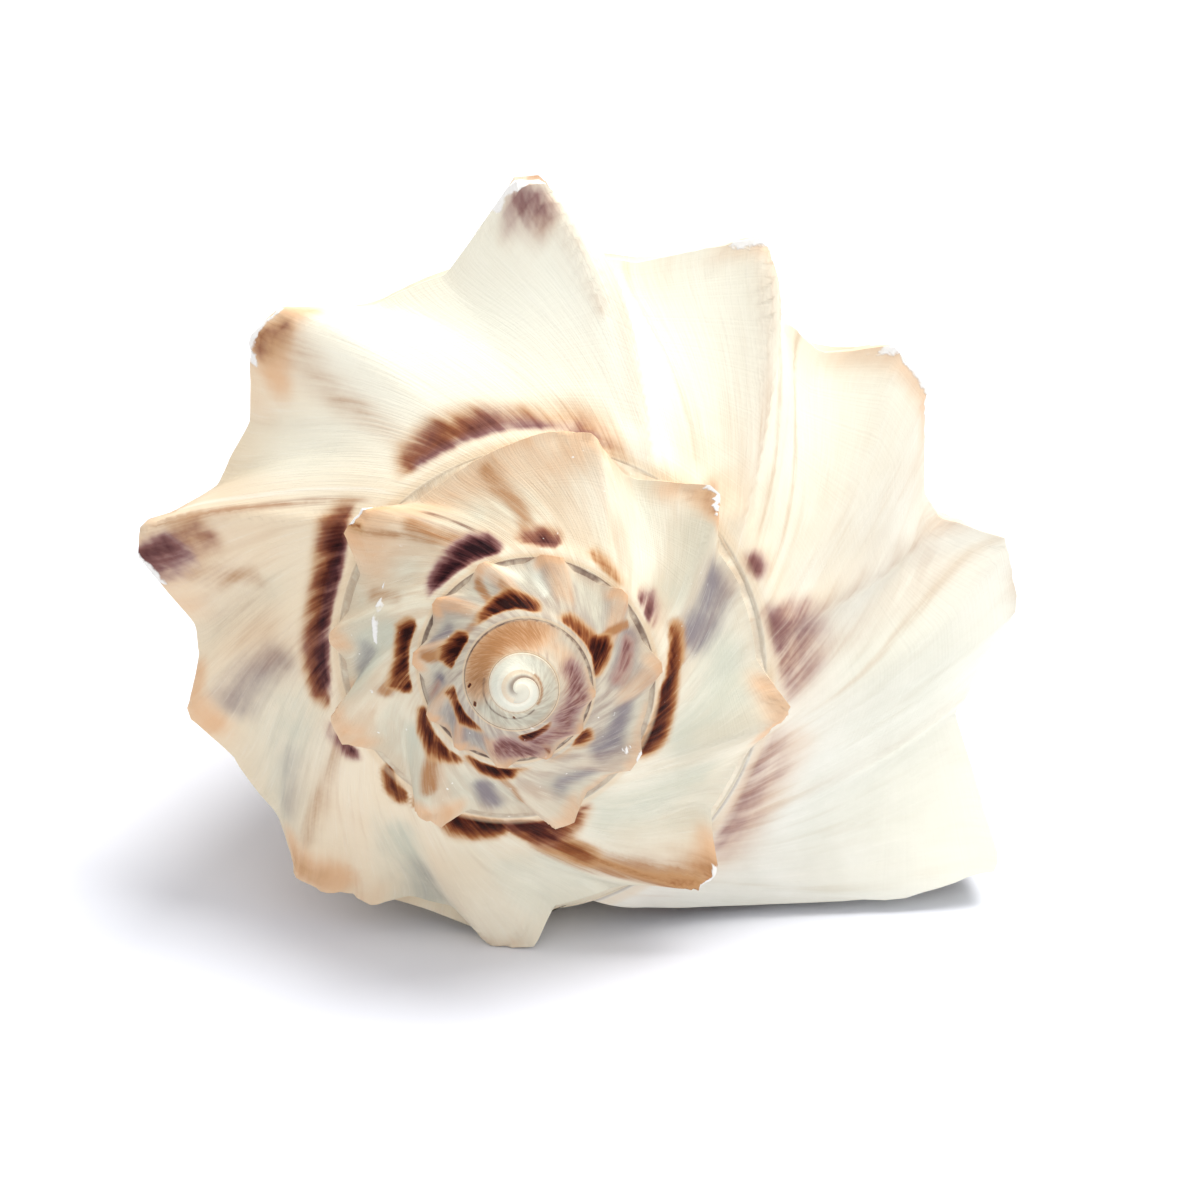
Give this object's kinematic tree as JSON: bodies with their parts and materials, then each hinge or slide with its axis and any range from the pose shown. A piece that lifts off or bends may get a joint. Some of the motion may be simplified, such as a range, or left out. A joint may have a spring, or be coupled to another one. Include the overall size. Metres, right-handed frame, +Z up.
{
  "type": "whelk shell",
  "caption": "Empty knobbed whelk shell lying mouth down: low stepped spire with shoulder knobs, wide body whorl, open mouth and a long grooved canal.",
  "frame": {"origin": "centre of the bounding box at its bottom, on the floor that the shell lies on", "axes": "+Z up, +Y along the shell from the tip of its spire to the end of its canal, +X towards the side of the outer lip"},
  "size_m": [0.1102, 0.1724, 0.092],
  "materials": {
    "shell": "worn glaze: cream with brown and purple patches along the sutures"
  },
  "bodies": {
    "root": {"shell": "shell"}
  },
  "joints": []
}
